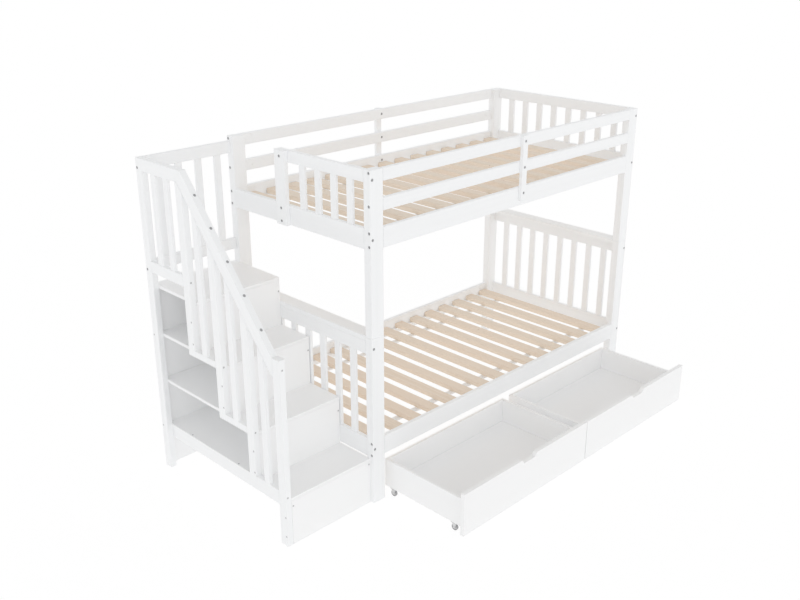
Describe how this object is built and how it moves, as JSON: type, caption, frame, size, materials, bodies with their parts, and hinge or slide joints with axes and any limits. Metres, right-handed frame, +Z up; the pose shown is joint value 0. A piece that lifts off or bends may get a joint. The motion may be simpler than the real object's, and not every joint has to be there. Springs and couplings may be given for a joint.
{
  "type": "bunk bed with storage stairs",
  "caption": "Bunk bed with slatted bases, guard rails, a boxed stair with shelf openings and handrail at the left end, and rolling drawers underneath.",
  "frame": {"origin": "centre of the bounding box's base, on the floor", "axes": "+X along the bed away from the stairs, +Y from the drawer side to the back, +Z up"},
  "size_m": [2.4914, 1.489, 1.583],
  "materials": {
    "white_paint": "white lacquered solid wood, satin",
    "white_panel": "white lacquered board, satin",
    "pine": "clear pine, planed and unpainted",
    "beech": "turned dowel, unfinished",
    "bolt_steel": "plated steel bolt, satin",
    "screw_zinc": "bright zinc plated screw",
    "white_cap": "painted nut end, as white as the rail",
    "caster_steel": "pressed steel, zinc plated",
    "wheel": "grey tread on a pale hub"
  },
  "bodies": {
    "bed": {"back_guard_middle": "white_paint", "back_guard_top": "white_paint", "back_lower_rail": "white_paint", "back_upper_rail": "white_paint", "barrel_nuts": "white_cap", "end_caps": "white_paint", "end_guard_rails": "white_paint", "entry_post": "white_paint", "frame_bolts": "bolt_steel", "front_guard_middle": "white_paint", "front_guard_top": "white_paint", "front_lower_rail": "white_paint", "front_upper_rail": "white_paint", "guard_battens": "white_paint", "handrail": "white_paint", "head_rails": "white_paint", "lower_bed_slats": "pine", "lower_end_rail_left": "white_paint", "lower_end_rail_right": "white_paint", "lower_end_slats": "white_paint", "lower_post_back_left": "white_paint", "lower_post_back_right": "white_paint", "lower_post_front_left": "white_paint", "lower_post_front_right": "white_paint", "post_pins": "beech", "slat_ledgers": "white_paint", "slat_straps": "white_paint", "stair_back_panels": "white_panel", "stair_balusters": "white_paint", "stair_guard_rails": "white_paint", "stair_guard_slats": "white_paint", "stair_leg": "white_paint", "stair_newel": "white_paint", "stair_posts": "white_paint", "stair_risers": "white_panel", "stair_side_panels": "white_panel", "stair_top_rail": "white_paint", "stair_treads": "white_panel", "step_rails": "white_paint", "upper_bed_slats": "pine", "upper_end_rail_left": "white_paint", "upper_end_rail_right": "white_paint", "upper_end_slats": "white_paint", "upper_post_back_left": "white_paint", "upper_post_back_right": "white_paint", "upper_post_front_left": "white_paint", "upper_post_front_right": "white_paint", "wood_screws": "screw_zinc"},
    "drawer_left": {"drawer_left_bottom": "white_panel", "drawer_left_box": "white_panel", "drawer_left_casters": "caster_steel", "drawer_left_front": "white_panel"},
    "drawer_left_front_wheels": {"drawer_left_front_wheels": "wheel"},
    "drawer_left_back_wheels": {"drawer_left_back_wheels": "wheel"},
    "drawer_right": {"drawer_right_bottom": "white_panel", "drawer_right_box": "white_panel", "drawer_right_casters": "caster_steel", "drawer_right_front": "white_panel"},
    "drawer_right_front_wheels": {"drawer_right_front_wheels": "wheel"},
    "drawer_right_back_wheels": {"drawer_right_back_wheels": "wheel"}
  },
  "joints": [
    {"name": "drawer_left_roll", "type": "slide", "parent": "bed", "child": "drawer_left", "axis": [0, -1, 0], "range_m": [-0.481, 0.06]},
    {"name": "drawer_left_front_wheels_turn", "type": "hinge", "parent": "drawer_left", "child": "drawer_left_front_wheels", "pos_m": [-0.214, -0.6675, 0.016], "axis": [1, 0, 0], "continuous": true},
    {"name": "drawer_left_back_wheels_turn", "type": "hinge", "parent": "drawer_left", "child": "drawer_left_back_wheels", "pos_m": [-0.214, -0.2835, 0.016], "axis": [1, 0, 0], "continuous": true},
    {"name": "drawer_right_roll", "type": "slide", "parent": "bed", "child": "drawer_right", "axis": [0, -1, 0], "range_m": [-0.481, 0.06]},
    {"name": "drawer_right_front_wheels_turn", "type": "hinge", "parent": "drawer_right", "child": "drawer_right_front_wheels", "pos_m": [0.7055, -0.6675, 0.016], "axis": [1, 0, 0], "continuous": true},
    {"name": "drawer_right_back_wheels_turn", "type": "hinge", "parent": "drawer_right", "child": "drawer_right_back_wheels", "pos_m": [0.7055, -0.2835, 0.016], "axis": [1, 0, 0], "continuous": true}
  ],
  "couplings": [
    {"joint": "drawer_left_front_wheels_turn", "follows": "drawer_left_roll", "rad_per_m": 62.5},
    {"joint": "drawer_left_back_wheels_turn", "follows": "drawer_left_roll", "rad_per_m": 62.5},
    {"joint": "drawer_right_front_wheels_turn", "follows": "drawer_right_roll", "rad_per_m": 62.5},
    {"joint": "drawer_right_back_wheels_turn", "follows": "drawer_right_roll", "rad_per_m": 62.5}
  ]
}
